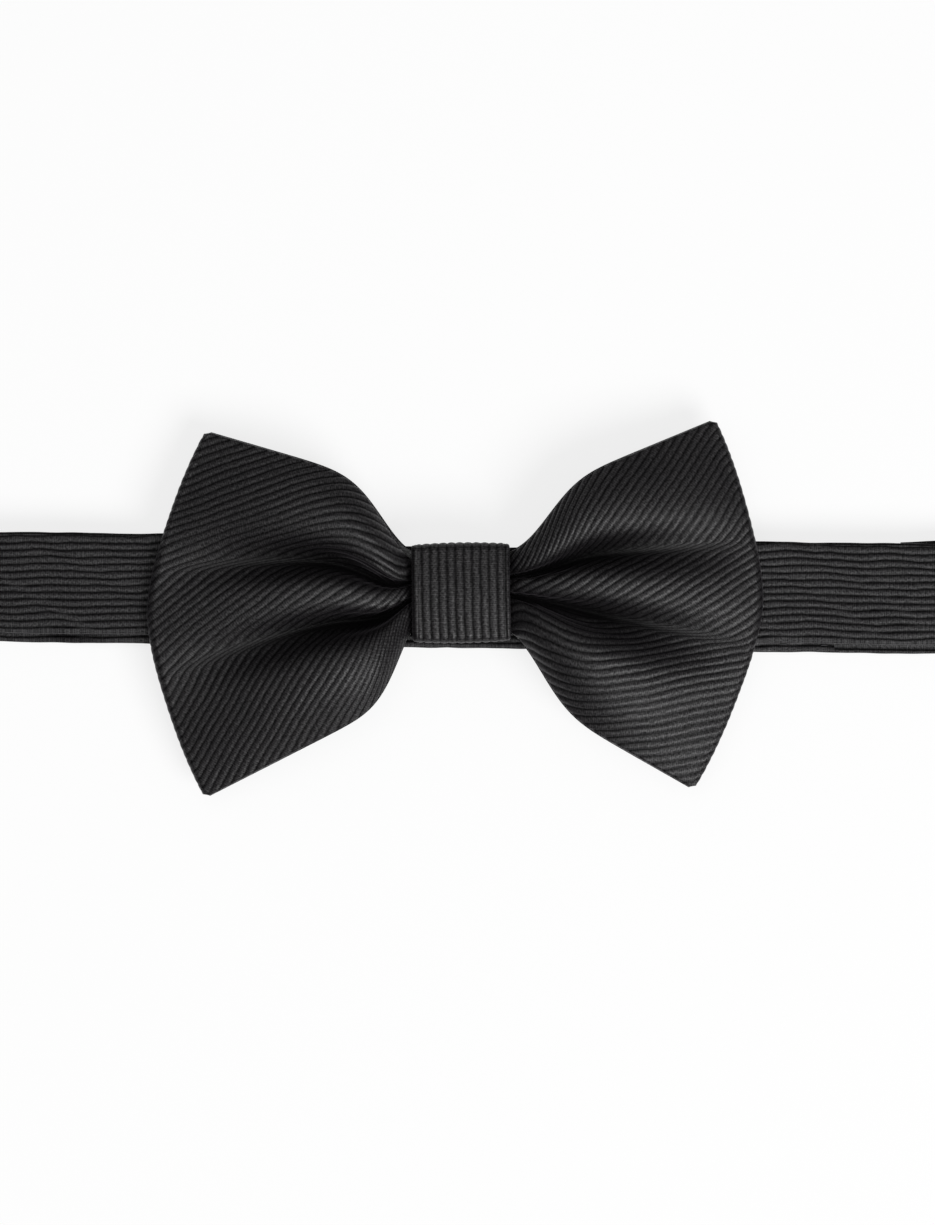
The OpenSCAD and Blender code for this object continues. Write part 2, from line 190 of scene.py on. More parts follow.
def unit(v):
    return v / np.maximum(np.linalg.norm(v, axis=-1, keepdims=True), 1e-9)


def grid_faces(rows, cols, closed_rows):
    r = np.arange(rows if closed_rows else rows - 1)
    c = np.arange(cols)
    r, c = (g.ravel() for g in np.meshgrid(r, c, indexing="ij"))
    r2 = (r + 1) % rows
    c2 = (c + 1) % cols
    return np.stack([r * cols + c, r * cols + c2, r2 * cols + c2, r2 * cols + c], 1).tolist()


def add_grid(name, points, uv, closed_rows=False):
    """A smooth tube from a grid of points in millimetres, with flat caps unless it is a ring.
    uv gives each point's place in the flat cloth: millimetres along a cord, and which cord."""
    rows, cols = points.shape[:2]
    faces = grid_faces(rows, cols, closed_rows)
    caps = 0
    if not closed_rows:
        last = (rows - 1) * cols
        faces.append(list(range(cols))[::-1])
        faces.append(list(range(last, last + cols)))
        caps = 2
    mesh = bpy.data.meshes.new(name)
    mesh.from_pydata((points.reshape(-1, 3) * MM).tolist(), [], faces)
    smooth = np.ones(len(mesh.polygons), bool)
    smooth[len(smooth) - caps:] = False
    mesh.polygons.foreach_set("use_smooth", smooth)
    if caps:
        sharp = {key for polygon in mesh.polygons[-caps:] for key in polygon.edge_keys}
        for edge in mesh.edges:
            if edge.key in sharp:
                edge.use_edge_sharp = True
    layer = mesh.uv_layers.new(name="cloth")
    corner = np.zeros(len(mesh.loops), int)
    mesh.loops.foreach_get("vertex_index", corner)
    layer.data.foreach_set("uv", (uv.reshape(-1, 2)[corner] * UV_UNIT).astype(np.float32).ravel())
    work = bmesh.new()
    work.from_mesh(mesh)
    bmesh.ops.recalc_face_normals(work, faces=work.faces)
    work.to_mesh(mesh)
    work.free()
    piece = bpy.data.objects.new(name, mesh)
    bpy.context.scene.collection.objects.link(piece)
    return piece


# ---------------------------------------------------------------- materials

def material(name, colour, roughness, metallic=0.0):
    made = bpy.data.materials.new(name)
    made.use_nodes = True
    shader = made.node_tree.nodes["Principled BSDF"]
    shader.inputs["Base Color"].default_value = (*colour, 1)
    shader.inputs["Roughness"].default_value = roughness
    shader.inputs["Metallic"].default_value = metallic
    return made, made.node_tree.nodes, made.node_tree.links, shader


def ramp_between(nodes, links, factor, low, high, start=0.3, end=0.7):
    ramp = nodes.new("ShaderNodeValToRGB")
    ramp.color_ramp.elements[0].position = start
    ramp.color_ramp.elements[0].color = (*low, 1)
    ramp.color_ramp.elements[1].position = end
    ramp.color_ramp.elements[1].color = (*high, 1)
    links.new(factor, ramp.inputs["Fac"])
    return ramp.outputs["Color"]


def math_node(nodes, links, operation, first, second=None):
    made = nodes.new("ShaderNodeMath")
    made.operation = operation
    links.new(first, made.inputs[0])
    if second is not None:
        made.inputs[1].default_value = second
    return made.outputs["Value"]


def placed(nodes, links, source, scale):
    """A coordinate stretched by scale in each direction."""
    made = nodes.new("ShaderNodeMapping")
    made.inputs["Scale"].default_value = scale
    links.new(source, made.inputs["Vector"])
    return made.outputs["Vector"]


def noise_at(nodes, links, vector, scale, detail, roughness=0.5):
    made = nodes.new("ShaderNodeTexNoise")
    made.inputs["Scale"].default_value = scale
    made.inputs["Detail"].default_value = detail
    made.inputs["Roughness"].default_value = roughness
    links.new(vector, made.inputs["Vector"])
    return made.outputs["Fac"]


def mixed(nodes, links, share, first, second):
    made = nodes.new("ShaderNodeMix")
    made.data_type = "FLOAT"
    made.inputs["Factor"].default_value = share
    links.new(first, made.inputs["A"])
    links.new(second, made.inputs["B"])
    return made.outputs["Result"]


def ranged(nodes, links, value, source, target):
    made = nodes.new("ShaderNodeMapRange")
    made.inputs["From Min"].default_value, made.inputs["From Max"].default_value = source
    made.inputs["To Min"].default_value, made.inputs["To Max"].default_value = target
    links.new(value, made.inputs["Value"])
    return made.outputs["Result"]


def product(nodes, links, first, second):
    made = nodes.new("ShaderNodeMath")
    made.operation = "MULTIPLY"
    links.new(first, made.inputs[0])
    links.new(second, made.inputs[1])
    return made.outputs["Value"]


def add_bump(nodes, links, shader, height, strength, distance):
    bump = nodes.new("ShaderNodeBump")
    bump.inputs["Strength"].default_value = strength
    bump.inputs["Distance"].default_value = distance * MM
    links.new(height, bump.inputs["Height"])
    links.new(bump.outputs["Normal"], shader.inputs["Normal"])


def crossing_threads(nodes, links, vector, thread):
    """Fine threads that cross the cords, thread millimetres apart."""
    made = nodes.new("ShaderNodeTexWave")
    made.wave_type = "BANDS"
    made.bands_direction = "X"
    made.inputs["Scale"].default_value = WAVE_TURN / thread
    made.inputs["Distortion"].default_value = 1.6
    made.inputs["Detail"].default_value = 1.0
    made.inputs["Detail Scale"].default_value = 2.0
    links.new(vector, made.inputs["Vector"])
    return made.outputs["Fac"]


def cloth_material(name, dark, light, roughness=0.5, thread=0.42, relief=0.05, sheen=0.1, groove_shade=0.2):
    """Woven cloth: cords along the first cloth coordinate, crossed by fine threads. Colour and gloss
    carry painted shade: darker in the grooves, partly also for the darker ground threads there, and
    darker at the bottom of the valleys, where the point attribute of painted valley shade is high.
    The second coordinate counts the cords."""
    made, nodes, links, shader = material(name, light, roughness)
    uv_map = nodes.new("ShaderNodeUVMap")
    uv_map.uv_map = "cloth"
    cloth = uv_map.outputs["UV"]
    place = placed(nodes, links, cloth, (100, 100, 1))

    streaks = noise_at(nodes, links, placed(nodes, links, cloth, (14, 130, 1)), 1.0, 4.0, 0.65)
    patches = noise_at(nodes, links, place, 0.12, 4.0)
    colour = ramp_between(nodes, links, mixed(nodes, links, 0.35, streaks, patches), dark, light)

    threads = crossing_threads(nodes, links, place, thread)
    specks = noise_at(nodes, links, placed(nodes, links, cloth, (100 / thread, 100 * 3.2, 1)), 1.0, 2.0)
    fibres = mixed(nodes, links, 0.86, threads, specks)
    weave = ranged(nodes, links, fibres, (0.3, 0.72), (0.25, 1.5))

    # Painted shade in the grooves between the cords, partly also the darker ground threads there:
    # colour and gloss fall to the groove level at the bottom of each groove.
    split = nodes.new("ShaderNodeSeparateXYZ")
    links.new(place, split.inputs["Vector"])
    turn = math_node(nodes, links, "MULTIPLY", split.outputs["Y"], math.pi)
    crest = math_node(nodes, links, "ABSOLUTE", math_node(nodes, links, "COSINE", turn))
    level = ranged(nodes, links, crest, (0.0, 0.8), (groove_shade, 1.0))

    # Painted shade at the bottom of the valleys, from a point attribute: colour and gloss lose up to
    # the valley darkness there.
    painted_valley_shade = nodes.new("ShaderNodeAttribute")
    painted_valley_shade.attribute_name = "painted_valley_shade"
    painted_valley_factor = math_node(nodes, links, "MULTIPLY_ADD", painted_valley_shade.outputs["Fac"], -PAINTED_VALLEY_DARKNESS)
    painted_valley_factor.node.inputs[2].default_value = 1.0
    gain = product(nodes, links, product(nodes, links, level, weave), painted_valley_factor)

    tint = nodes.new("ShaderNodeVectorMath")
    tint.operation = "SCALE"
    links.new(colour, tint.inputs[0])
    links.new(gain, tint.inputs["Scale"])
    links.new(tint.outputs["Vector"], shader.inputs["Base Color"])
    gloss = math_node(nodes, links, "MULTIPLY", gain, CLOTH_SHINE)
    links.new(gloss, shader.inputs["Specular IOR Level"])
    add_bump(nodes, links, shader, fibres, 0.8, relief)
    shader.inputs["Sheen Weight"].default_value = sheen
    shader.inputs["Sheen Roughness"].default_value = 0.35
    shader.inputs["Sheen Tint"].default_value = (0.86, 0.8, 0.88, 1)
    return made


def grain_material(name, dark, light, roughness, scale, metallic=0.0, relief=0.03):
    """A plain material with slight changes of colour and height."""
    made, nodes, links, shader = material(name, light, roughness, metallic)
    place = nodes.new("ShaderNodeTexCoord")
    noise = noise_at(nodes, links, place.outputs["Object"], scale, 4.0)
    links.new(ramp_between(nodes, links, noise, dark, light), shader.inputs["Base Color"])
    add_bump(nodes, links, shader, noise, 0.6, relief)
    return made


CLOTH_SHINE = 0.42
PAINTED_VALLEY_DARKNESS = 0.85         # how much of the colour and gloss the painted valley shade takes away at the bottom of a valley
WAVE_TURN = 0.314            # scale of a wave texture with one band per millimetre
FAILLE = cloth_material("ribbed_faille", (0.0035, 0.003, 0.0042), (0.0105, 0.0092, 0.01))
# The band's grooves get deeper painted shade than the bow's.
BAND_FAILLE = cloth_material("band_faille", (0.0035, 0.003, 0.0042), (0.0115, 0.0102, 0.0112),
                             groove_shade=0.04)
SATIN = cloth_material("satin_lining", (0.004, 0.004, 0.0045), (0.008, 0.0078, 0.0085),
                       roughness=0.32, thread=0.3, relief=0.02, groove_shade=0.8)
FLEECE = grain_material("interlining_fleece", (0.55, 0.54, 0.51), (0.72, 0.71, 0.67), 0.9, 900)
THREAD = grain_material("black_thread", (0.006, 0.006, 0.007), (0.02, 0.02, 0.022), 0.6, 4000)
NICKEL = grain_material("black_nickel", (0.10, 0.10, 0.105), (0.16, 0.16, 0.165), 0.28, 700,
                        metallic=1.0)


def finish_piece(piece, made):
    piece.data.materials.clear()
    piece.data.materials.append(made)
    return piece


# ---------------------------------------------------------------- bow: the wings

def edge_y(edge, u):
    start, slope, rise, place, power = edge
    reach = np.maximum(u, 0) / place
    return start + slope * u + rise * (1 - np.exp(-reach ** power))


def outer_x(side, e):
    low, high = TIPS[side]
    return mix(low, high, (e + 1) / 2) + side * WING_BULGE * (1 - np.abs(e) ** 1.6)


def plan(side, u, e):
    room = FOLD_ROOM - FOLD_ROOM_LOSS * e * e
    x = side * WAIST_X + (outer_x(side, e) - side * (room + WAIST_X)) * u
    y = mix(edge_y(EDGES[side]["low"], u), edge_y(EDGES[side]["top"], u), (e + 1) / 2)
    return x, y


def pleat_slope(side, u, s):
    """Slope of the pleated profile in radians: three ridges with two valleys between them."""
    low_valley, high_valley = (a + b * u for a, b in VALLEYS[side])
    ridge = (low_valley + high_valley) / 2
    low_ridge = (low_valley - 1) / 2
    high_ridge = (high_valley + 1) / 2

    def wave(start, end):
        return np.sin(np.pi * np.clip((s - start) / (end - start), 0, 1) ** PLEAT_SHARPNESS)

    lean = np.select(
        [s < low_ridge, s < low_valley, s < ridge, s < high_valley, s < high_ridge],
        [
            EDGE_ROLL * np.sin(np.pi / 2 * np.clip((low_ridge - s) / (low_ridge + 1), 0, 1)),
            -wave(low_ridge, low_valley),
            wave(ridge, low_valley),
            -wave(ridge, high_valley),
            wave(high_ridge, high_valley),
        ],
        -EDGE_ROLL * np.sin(np.pi / 2 * np.clip((s - high_ridge) / (1 - high_ridge), 0, 1)),
    )
    return math.radians(PLEAT_ANGLE) * np.maximum(1 - u, 0) ** PLEAT_FADE * lean


def valley_line(side, u, s, half):
    """1 along the bottom of each valley and 0 away from it, fading towards the outer fold."""
    lines = sum(np.exp(-((s - (a + b * u)) / half) ** 2) for a, b in VALLEYS[side])
    return lines * ease((0.92 - u) / 0.7)


def face_rows(side, u, s):
    """The wing's front layer. The profile keeps its length, so that its ridges rise
    as the fabric is drawn together at the knot."""
    mids = (s[1:] + s[:-1]) / 2
    step = np.diff(s)
    angle = pleat_slope(side, u[:, None], mids[None, :])
    zero = np.zeros((len(u), 1))
    across = np.hstack([zero, np.cumsum(np.cos(angle) * step, 1)])
    height = np.hstack([zero, np.cumsum(np.sin(angle) * step, 1)])
    e = 2 * across / across[:, -1:] - 1
    x, y = plan(side, u[:, None], e)
    top_x, top_y = plan(side, u, np.ones_like(u))
    low_x, low_y = plan(side, u, -np.ones_like(u))
    scale = np.hypot(top_x - low_x, top_y - low_y) / across[:, -1]
    ridge = sum(a + b * u for a, b in VALLEYS[side]) / 2
    ridge_height = np.array([np.interp(r, s, h) for r, h in zip(ridge, height)])
    crease = CREASE_DEPTH * valley_line(side, u[:, None], s[None, :], CREASE_HALF)
    top = mix(WAIST_TOP, TIP_TOP, u) + PLEAT_RISE * np.sin(np.pi * np.clip(u, 0, 1) ** 0.7)
    lift = mix(0.62, 1, ease(u / 0.15)) * scale
    z = top[:, None] + lift[:, None] * (height - ridge_height[:, None])
    z = z - FACE_EDGE_DROOP * (u * u)[:, None] * s * s - crease
    return np.stack([x, y, z], -1)


def valley_shade(side, u, s):
    """How much painted shade each point gets in the dark of a valley, fading towards the outer fold
    and wider at the knot, where the pleats crowd together."""
    shade = 0
    crowd = 1 + 0.8 * np.exp(-(u / 0.16) ** 2)
    for (a, b), (below, above) in zip(VALLEYS[side], SHADE_REACH):
        offset = s - (a + b * u)
        shade = shade + np.exp(-(offset / (crowd * np.where(offset < 0, below, above))) ** 2)
    return np.minimum(shade, 1) * ease((0.95 - u) / 0.6)


def back_rows(side, u, s):
    """The back layer lies almost flat on the band and droops past its edges."""
    u = u[:, None]
    x, y = plan(side, u, s[None, :])
    y = y + BACK_PEEK[side] * (s + 1) / 2 * np.exp(-(u / 0.12) ** 2)
    z = FRONT_TOP + BACK_CLEAR - BACK_EDGE_DROOP * u * ease((np.abs(s) - 0.4) / 0.6)
    return np.stack([x, y, z], -1)


def wing_table(side, s, cell, back_cell):
    """Points of the strip's outer side from the knot round the outer fold to the centre back."""
    front = face_rows(side, np.linspace(KNOT_START, 1, int(STRIP_SPAN / cell)), s)
    back = back_rows(side, np.linspace(1, KNOT_START, int(STRIP_SPAN / back_cell)), s)
    first, last = front[-1], back[0]
    middle_z = (first[:, 2] + last[:, 2]) / 2
    r = (first[:, 2] - last[:, 2]) / 2
    turns = []
    for angle in np.linspace(np.pi / 2, -np.pi / 2, int(FOLD_SPAN / cell))[1:-1]:
        x = first[:, 0] + side * r * math.cos(angle)
        turns.append(np.stack([x, first[:, 1], middle_z + r * math.sin(angle)], -1))
    return np.concatenate([front, np.array(turns), back])


def wing_normals(side, table):
    along = np.gradient(table, axis=0)
    across = np.gradient(table, axis=1)
    return unit(np.cross(along, across) * side)


def flat_cloth(side, table, s):
    """Each point's place in the flat strip, along it and across it, the distance across the
    surface, and how much painted valley shade it gets. The strip is cut straight, so the width that
    is missing towards the knot is tucked into the two valleys."""
    steps = np.linalg.norm(np.diff(table, axis=0), axis=-1)
    p = np.vstack([np.zeros((1, table.shape[1])), np.cumsum(steps, 0)])
    row = np.linalg.norm(np.diff(table, axis=1), axis=-1)
    level = np.sqrt(np.maximum(row ** 2 - np.diff(p, axis=1) ** 2, (0.3 * row) ** 2))
    zero = np.zeros((len(table), 1))
    q = np.hstack([zero, np.cumsum(level, 1)])
    surface_q = np.hstack([zero, np.cumsum(row, 1)])
    width = q[:, -1:]
    mean_p = p.mean(1, keepdims=True)
    u = np.clip(mean_p / mean_p[np.argmax(width[:, 0])], 0, 1)
    tucked = np.maximum(width.max() - width, 0) / 2
    tucks = [ease((s - (a + b * u)) / (2 * TUCK_REACH) + 0.5) for a, b in VALLEYS[side]]
    flat_q = q - width / 2 + tucked * (sum(tucks) - 1)
    # Painted shade in the valleys, none from the widest row on, round the outer fold and on the back.
    shade = np.where(u < 1, valley_shade(side, u, s), 0)
    return p, flat_q, surface_q - surface_q[:, -1:] / 2, shade


def cord_fade(normal, edge, crowding):
    """Cords are lower at the strip's edges, where they crowd and where the cloth stands steep."""
    level = np.clip(np.abs(normal[..., 2]) * 1.6, 0.45, 1)
    return np.sqrt(edge) * np.clip(2.4 - crowding, 0.3, 1) * level


def phase_slope(phase, table):
    """How many cords the surface crosses in a millimetre."""
    slopes = (np.gradient(phase, axis=a) / np.linalg.norm(np.gradient(table, axis=a), axis=-1)
              for a in (0, 1))
    return np.hypot(*slopes)


def wing_sheet(name, side, outer_d, inner_d, cord_height, cells, inner_cells, cell, back_cell):
    """One ply of the bow strip on one side, as a closed shell, with its flat size and area."""
    s = np.linspace(-1, 1, cells + 1)
    table = wing_table(side, s, cell, back_cell)
    normal = wing_normals(side, table)
    p, q, surface_q, shade = flat_cloth(side, table, s[None, :])
    flat_x = side * (p + WAIST_X)
    c, d = math.cos(RIB_ANGLE), math.sin(RIB_ANGLE)
    along = flat_x * c + q * d
    across = -flat_x * d + q * c
    bend = 0.16 * wander(along, 2 + side, 31) + 0.07 * wander(along + 3 * across, 5, 9)
    phase = (across + bend) / RIB_PITCH
    crowding = phase_slope(phase, table) * RIB_PITCH
    half = np.abs(surface_q).max(1)[:, None]
    edge = np.clip((half - np.abs(surface_q)) / EDGE_R, 0, 1)
    sink = EDGE_R * (1 - np.sqrt(1 - (1 - edge) ** 2))
    depth = outer_d + sink - cord_height * cords(phase, side) * cord_fade(normal, edge, crowding)
    outer = table - normal * depth[..., None]
    uv = np.stack([along, phase], -1)

    reach = 1 - 2 * PLY_INSET
    inner_s = np.linspace(reach, -reach, inner_cells + 1)
    pick = np.clip(np.round((inner_s + 1) / 2 * cells).astype(int), 0, cells)
    inner = table[:, pick] - normal[:, pick] * inner_d
    if cord_height:
        rim = EDGE_R * 2
        high_rim = outer[:, -1:] - normal[:, -1:] * (rim - depth[:, -1:, None])
        low_rim = outer[:, :1] - normal[:, :1] * (rim - depth[:, :1, None])
        ring = np.concatenate([outer, high_rim, inner, low_rim], 1)
        ring_uv = np.concatenate([uv, uv[:, -1:], uv[:, pick], uv[:, :1]], 1)
    else:
        keep = np.abs(s) <= reach
        ring = np.concatenate([outer[:, keep], inner], 1)
        ring_uv = np.concatenate([uv[:, keep], uv[:, pick]], 1)
    piece = add_grid(name, ring, ring_uv)
    # Painted shade of the valleys, stored on the points of the outer side for the cloth material to
    # darken colour and gloss.
    if cord_height:
        rows, cols = ring.shape[:2]
        painted_valley_shade = np.zeros((rows, cols), np.float32)
        painted_valley_shade[:, :outer.shape[1]] = shade
        layer = piece.data.attributes.new("painted_valley_shade", "FLOAT", "POINT")
        layer.data.foreach_set("value", painted_valley_shade.ravel())
    widths = 2 * half[:, 0]
    gaps = np.diff(p[:, 0])
    area = float((gaps * (widths[1:] + widths[:-1]) / 2).sum()) * MM * MM
    flat = (float(widths.max()) * MM, float(p[-1, 0]) * MM)
    return piece, flat, area


# The plies behind the face: the depths of their outer and inner side, and their look.
PLIES = (
    ("interlining", 0.38, 0.62, FLEECE, "interlining"),
    ("lining", 0.65, 0.98, SATIN, "lining_fabric"),
)
for side, label in ((-1, "left"), (1, "right")):
    name = f"bow_{label}_face_cloth"
    face, flat, area = wing_sheet(name, side, *FACE_DEPTHS, RIB_HEIGHT, **FACE_CELLS)
    finish_piece(face, FAILLE)
    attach(face, "bow")
    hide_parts("bow_face_fabric")
    for part, outer_d, inner_d, made, slot_name in PLIES:
        name = f"bow_{label}_{part}_cloth"
        ply, flat, area = wing_sheet(name, side, outer_d, inner_d, 0.0, **PLY_CELLS)
        finish_piece(ply, made)
        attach(ply, "bow")
        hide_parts(f"bow_{part}")


# ---------------------------------------------------------------- knot

def knot_outline(count):
    """The knot's outline in the YZ plane, with rounded corners and a domed front."""
    r = KNOT_ROUND
    corners = (
        (KNOT_HIGH - r, KNOT_BACK + r, -90), (KNOT_HIGH - r, KNOT_TOP - r, 0),
        (KNOT_LOW + r, KNOT_TOP - r, 90), (KNOT_LOW + r, KNOT_BACK + r, 180),
    )
    points = []
    for number, (y, z, start) in enumerate(corners):
        for k in range(9):
            a = math.radians(start + 11.25 * k)
            points.append((y + r * math.cos(a), z + r * math.sin(a)))
        if number == 1:
            for k in range(1, 24):
                t = k / 24
                height = KNOT_TOP + KNOT_CROWN * math.sin(math.pi * t)
                points.append((mix(KNOT_HIGH - r, KNOT_LOW + r, t), height))
    points = np.array(points + points[:1])
    length = np.concatenate([[0], np.cumsum(np.linalg.norm(np.diff(points, axis=0), axis=1))])
    at = np.linspace(0, length[-1], count, endpoint=False)
    return np.stack([np.interp(at, length, points[:, i]) for i in (0, 1)], 1), at, length[-1]


def knot_wrap():
    outline, at, around = knot_outline(150)
    run = np.roll(outline, -1, 0) - np.roll(outline, 1, 0)
    outward = unit(np.stack([run[:, 1], -run[:, 0]], 1))
    half = KNOT_W / 2
    fold_r = 0.5
    x = np.linspace(-half + fold_r, half - fold_r, KNOT_RIBS * 10 + 1)
    bend = 0.22 * wander(at, 4, 40)[:, None] + 0.06 * wander(at[:, None] + 5 * x, 7, 9)
    phase = (x[None, :] + bend) / KNOT_PITCH + 0.1
    dome = KNOT_DOME * (1 - (x / half) ** 2)
    seam = KNOT_SEAM * np.exp(-((half - 1.1 - np.abs(x)) / 0.16) ** 2)
    rise = (dome - seam)[None, :] + KNOT_CORD * cords(phase, 9)
    rows_x = [x[None, :] + 0 * rise]
    rows_d = [rise]
    turn = np.linspace(90, -90, 7)[1:-1]
    for sign in (1, -1):
        angles = turn if sign > 0 else turn[::-1]
        across = [sign * (half - fold_r + fold_r * math.cos(math.radians(a))) for a in angles]
        level = [-fold_r + fold_r * math.sin(math.radians(a)) for a in angles]
        edge_x = np.array(across)[None, :] + 0.08 * wander(at, 12 + sign, 15)[:, None]
        edge_d = np.array(level)[None, :] + 0 * edge_x
        if sign > 0:
            inner_x = np.linspace(half - fold_r, -half + fold_r, 13)[None, :] + 0 * at[:, None]
            rows_x += [edge_x, inner_x]
            rows_d += [edge_d, -fold_r + 0 * inner_x]
        else:
            rows_x.append(edge_x)
            rows_d.append(edge_d)
    px = np.concatenate(rows_x, 1)
    pd = np.concatenate(rows_d, 1)
    py = outline[:, 0, None] + outward[:, 0, None] * pd
    pz = outline[:, 1, None] + outward[:, 1, None] * pd
    c, s = math.cos(KNOT_TURN), math.sin(KNOT_TURN)
    points = np.stack([px * c - py * s, px * s + py * c, pz], -1)
    count = px / KNOT_PITCH + 0.1
    count[:, :len(x)] = phase
    uv = np.stack([at[:, None] + 0 * px, count], -1)
    return add_grid("knot_wrap_cloth", points, uv, closed_rows=True), around


knot, around = knot_wrap()
finish_piece(knot, FAILLE)
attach(knot, "bow")
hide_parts("knot_wrap")


# ---------------------------------------------------------------- neck band

def gather(x):
    return ease((np.abs(x) - GATHER[0]) / (GATHER[1] - GATHER[0]))


def band_section(place, width, thickness, seed=0, crown=BAND_CROWN):
    """Closed sections of a folded band with cords along it, one for each place along it.
    crown is how far the middle of the top stands above its sides.
    Gives the offset across the band, the height over its middle and the cord's number."""
    half = width / 2
    ribs = BAND_RIBS
    last_cord = ribs - 0.4
    flat_half = half - thickness / 2
    v = np.linspace(-1, 1, ribs * 8 + 1)[None, :]
    place = place[:, None]
    rib = np.round((v + 1) / 2 * ribs)
    waver = 0.022 * wander(place + 2.3 * rib, 1 + seed, 17) + 0.03 * wander(place, 6 + seed, 43)
    phase = ((v + waver) + 1) / 2 * last_cord
    crowned = np.reshape(crown, (-1, 1)) * (1 - v * v)
    fade = np.clip((1 - np.abs(v)) * 12, 0.25, 1)
    top = BAND_CORD * cords(phase, seed + 3) * fade + crowned
    edge = 0.12 * wander(place, 8 + seed, 23)
    y_top = flat_half[:, None] * v + edge * v
    z_top = thickness / 2 - 0.05 + top
    ring_y = [y_top]
    ring_z = [z_top]
    turn = np.radians(np.linspace(90, -90, 9)[1:-1])
    for sign in (1, -1):
        angles = turn if sign > 0 else turn[::-1]
        reach = sign * (flat_half[:, None] + thickness / 2 * np.cos(angles)[None, :]) + edge * sign
        ring_y.append(reach)
        ring_z.append(thickness / 2 * np.sin(angles)[None, :] + 0 * reach)
        if sign > 0:
            under = v[:, ::-2]
            drop = BAND_CORD * 0.7 * cords(((under + 1) / 2) * last_cord, seed + 4)
            fade = np.clip((1 - np.abs(under)) * 12, 0.25, 1)
            ring_y.append(flat_half[:, None] * under + edge * under)
            ring_z.append(-thickness / 2 + 0.1 - drop * fade + 0 * place)
    y = np.concatenate(ring_y, 1)
    count = (y / half[:, None] + 1) / 2 * last_cord
    count[:, :v.shape[1]] = phase
    return y, np.concatenate(ring_z, 1), count


def strap(name, path, width, thickness, middle, place, seed=0, crown=BAND_CROWN):
    """Cloth band along an XZ path. place is the distance that sets how the cords waver."""
    path = np.asarray(path, float)
    run = unit(np.gradient(path, axis=0))
    normal = np.stack([-run[:, 1], run[:, 0]], 1)
    y, z, count = band_section(place, width, thickness, seed, crown)
    px = path[:, 0, None] + normal[:, 0, None] * z
    pz = path[:, 1, None] + normal[:, 1, None] * z
    py = middle[:, None] + y
    points = np.stack([px, py, pz], -1)
    steps = np.linalg.norm(np.diff(path, axis=0), axis=1)
    along = np.concatenate([[0], np.cumsum(steps)])
    uv = np.stack([along[:, None] + 0 * y, count], -1)
    return add_grid(name, points, uv), along[-1]


def resample(points, step):
    points = np.asarray(points, float)
    length = np.concatenate([[0], np.cumsum(np.linalg.norm(np.diff(points, axis=0), axis=1))])
    at = np.linspace(0, length[-1], max(int(length[-1] / step), 2) + 1)
    return np.stack([np.interp(at, length, points[:, i]) for i in (0, 1)], 1)


def arc(x, z, r, start, end, steps):
    angles = np.radians(np.linspace(start, end, steps))
    return [(x + r * math.cos(a), z + r * math.sin(a)) for a in angles]


def add_strap(name, body, path, node, seed=0, thickness=BAND_T, step=1.2):
    path = resample(path, step)
    ones = np.ones(len(path))
    piece, length = strap(name, path, BAND_W * ones, thickness, STRAP_Y * ones, path[:, 0],
                          seed, FLOOR_CROWN)
    finish_piece(piece, BAND_FAILLE)
    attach(piece, body)
    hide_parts(node)
    return piece


# Front layer, gathered inside the knot.
front_x = np.linspace(-BAND_HALF, BAND_HALF, 181)
half_width = mix(GATHER_HALF, BAND_W / 2, gather(front_x))
front_middle = mix(GATHER_Y, 0, gather(front_x))
front_path = np.stack([front_x, np.full_like(front_x, FRONT_Z)], 1)
front, length = strap("band_front_cloth", front_path, 2 * half_width, BAND_T, front_middle, front_x)
finish_piece(front, BAND_FAILLE)
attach(front, "neck_band")
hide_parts("band_front")

# The half turns at the ends of the loop.
FOLD_ROWS = 25
for side, label in ((-1, "left"), (1, "right")):
    turn = np.linspace(np.pi / 2, -np.pi / 2, FOLD_ROWS)
    path = np.stack([side * (BAND_HALF + FOLD_R * np.cos(turn)), FOLD_Z + FOLD_R * np.sin(turn)], 1)
    if side < 0:
        path = path[::-1]
    drift = STRAP_Y * ease((FOLD_Z + FOLD_R - path[:, 1]) / (2 * FOLD_R))
    crown = mix(FLOOR_CROWN, BAND_CROWN, (path[:, 1] - LOW_Z) / (FRONT_Z - LOW_Z))
    fold, length = strap(f"{label}_fold_cloth", path, np.full(FOLD_ROWS, BAND_W), BAND_T, drift,
                         np.full(FOLD_ROWS, side * BAND_HALF), crown=crown)
    finish_piece(fold, BAND_FAILLE)
    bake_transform(fold)
    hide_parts(f"{label}_fold")

ramp = [(mix(*RAMP, t), mix(LOW_Z, RAISED_Z, ease(t))) for t in np.linspace(0, 1, 9)]
hook_turn = arc(HOOK_X, (RAISED_Z + LOW_Z) / 2, (RAISED_Z - LOW_Z) / 2, 90, -90, 15)
hook_path = [(-BAND_HALF, LOW_Z)] + ramp + hook_turn
add_strap("hook_strap_cloth", "left_strap", hook_path, "hook_strap", seed=0)

return_path = [(HOOK_X - 0.1, LOW_Z), (BUCKLE_X + 0.2, LOW_Z)]
strap_return = add_strap("strap_return_cloth", "left_strap", return_path, "strap_return", seed=2)
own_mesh(strap_return)

# Where a sewn tail leaves its bar level, has come down and ends, from the bar.
TAIL_PLACES = (5, 9, 17)
EYE_PLACES = (3.5, 6.5, 19)

tail_z = LOW_Z + TAIL_R
sewn_z = BAND_T + TAIL_T / 2 + SEWN_GAP
tail_heights = (tail_z + TAIL_R, sewn_z, sewn_z)
tail_end = [(BUCKLE_X + x, z) for x, z in zip(TAIL_PLACES, tail_heights)]
tail_path = arc(BUCKLE_X, tail_z, TAIL_R, -90, -270, 13) + tail_end
add_strap("adjuster_tail_cloth", "adjuster", tail_path, "adjuster_tail_loop",
          seed=3, thickness=TAIL_T, step=0.5)

